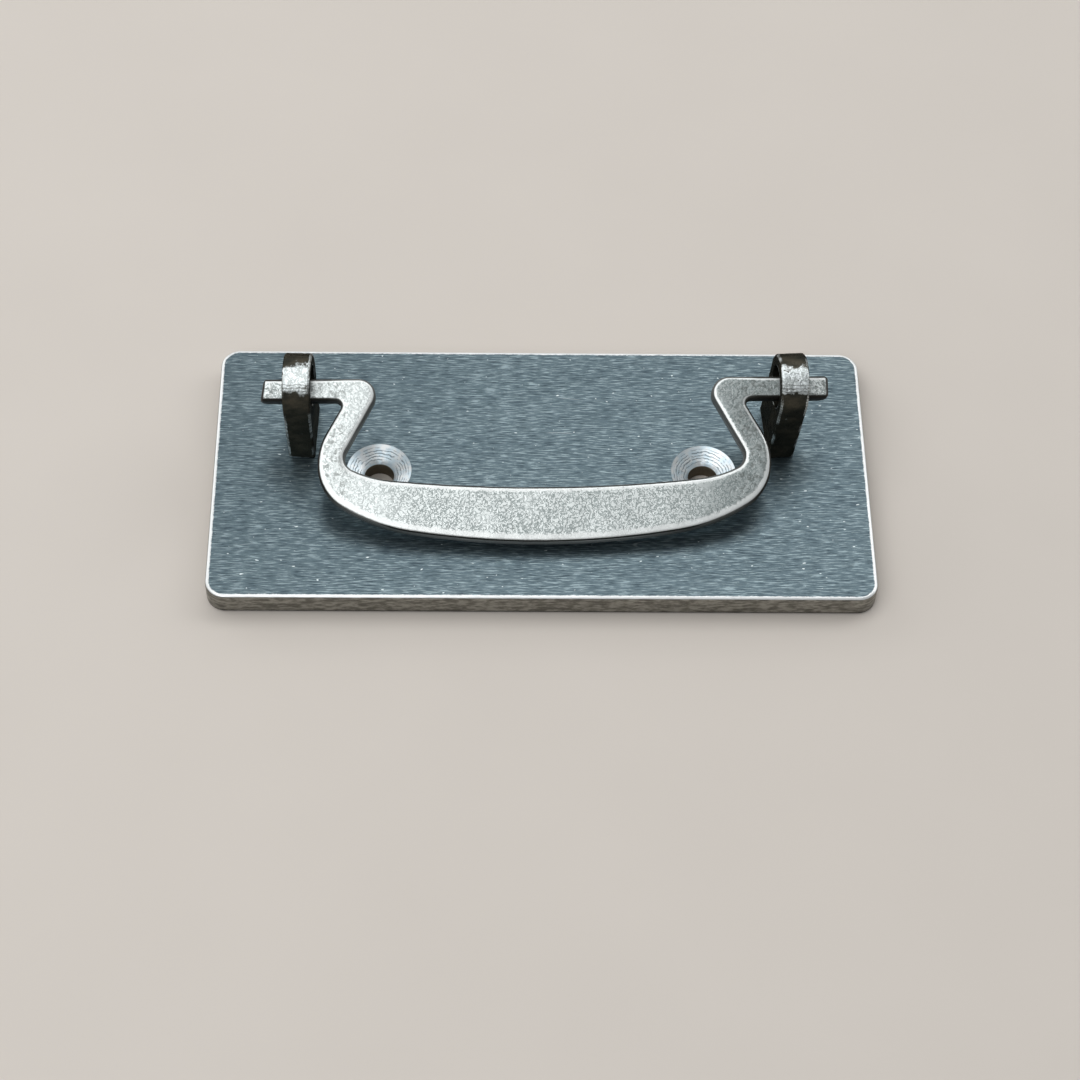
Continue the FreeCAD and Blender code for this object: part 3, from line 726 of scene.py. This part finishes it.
def mark_eye(mesh, bore_middle, corners):
    """Writes what the eyes' material reads; the painted highlight lies on the front of the head,
    where its faces point up.
    """
    rim_radius = 5.9 * MM
    head_highlight, leans = [], []
    for vert in mesh.verts:
        arm = vert.co - bore_middle
        lean = math.degrees(math.atan2(-arm.y, arm.z))
        on_head = arm.z > 0 and math.hypot(arm.y, arm.z) > rim_radius
        within = ramp(lean, -12, 16) * (1 - ramp(lean, 47, 61))
        head_highlight.append(max(0.0, vert.normal.z) * within if on_head else 0.0)
        leans.append(lean / 10)
    add_values(mesh, "head_highlight", head_highlight)
    add_values(mesh, "lean", leans)
    add_values(mesh, "edge", [corners.find(vert.co)[2] / MM for vert in mesh.verts])


def above_plate(mesh):
    return [vert for vert in mesh.verts if vert.co.z > PLATE_THICKNESS + 0.3 * MM]


def edge_points(mesh):
    """A search tree of the points that lie on a mesh's sharper outer edges."""
    sharp = [
        edge for edge in mesh.edges
        if len(edge.link_faces) == 2 and edge.calc_face_angle_signed() > math.radians(30)
    ]
    tree = KDTree(2 * len(sharp))
    for index, edge in enumerate(sharp):
        tree.insert(edge.verts[0].co, 2 * index)
        tree.insert(edge.verts[1].co, 2 * index + 1)
    tree.balance()
    return tree


make_plate(plate_material())
make_bail(bail_material())
scale_material = eye_material()
make_eye("left_eye", scale_material)
make_eye("right_eye", scale_material)


# Floor, light and camera

def make_floor():
    mesh = bmesh.new()
    bmesh.ops.create_grid(mesh, x_segments=1, y_segments=1, size=3.0)
    data = bpy.data.meshes.new("floor")
    mesh.to_mesh(data)
    mesh.free()
    material, tree, surface = new_material("pale_floor")
    grain = cloud(tree, place_in_mm(tree), 0.02, detail=2.0)
    plug(tree, blend_colour(tree, grain, *FLOOR_COLOURS), surface["Base Color"])
    surface["Roughness"].default_value = 0.75
    data.materials.append(material)
    floor = bpy.data.objects.new("floor", data)
    bpy.context.scene.collection.objects.link(floor)


def add_area_light(name, place, aim, width, depth, power):
    lamp = bpy.data.lights.new(name, "AREA")
    lamp.shape = "RECTANGLE"
    lamp.size, lamp.size_y = width, depth
    lamp.energy = power
    light = bpy.data.objects.new(name, lamp)
    light.location = place
    light.rotation_euler = (Vector(place) - Vector(aim)).to_track_quat("Z", "Y").to_euler()
    bpy.context.scene.collection.objects.link(light)


def make_light():
    """A faint sky, two lamps that face straight down and three low ones that aim at the plate."""
    world = bpy.data.worlds.new("studio")
    world.use_nodes = True
    sky = world.node_tree.nodes["Background"]
    sky.inputs["Color"].default_value = (0.94, 0.97, 1.0, 1.0)
    sky.inputs["Strength"].default_value = 0.17
    bpy.context.scene.world = world
    add_area_light("overhead", (-0.67, -0.55, 1.2), (-0.67, -0.55, 0.0), 1.4, 1.9, 16.1)
    add_area_light("overhead_back", (0.7, 0.74, 1.2), (0.7, 0.74, 0.0), 1.9, 0.68, 8.0)
    plate = (0.0, 0.0, 0.0)
    add_area_light("side", (-1.15, 0.85, 0.62), plate, 1.2, 0.8, 5.0)
    add_area_light("right", (1.15, 0.5, 0.62), plate, 1.0, 0.8, 3.4)
    add_area_light("behind", (-0.2, 1.7, 0.75), plate, 2.4, 0.6, 4.5)


def make_camera():
    """The photo's camera, solved from the plate's edges and its two countersinks."""
    lens = bpy.data.cameras.new("camera")
    lens.lens = 86.667
    lens.sensor_width = 36.0
    lens.clip_start, lens.clip_end = 0.01, 20.0
    camera = bpy.data.objects.new("camera", lens)
    camera.location = (-0.01266, -0.34976, 0.49523)
    camera.rotation_euler = [math.radians(angle) for angle in (34.0460, -1.1445, -0.4214)]
    bpy.context.scene.collection.objects.link(camera)
    bpy.context.scene.camera = camera


make_floor()
make_light()
make_camera()
bpy.context.scene.view_settings.view_transform = "Standard"
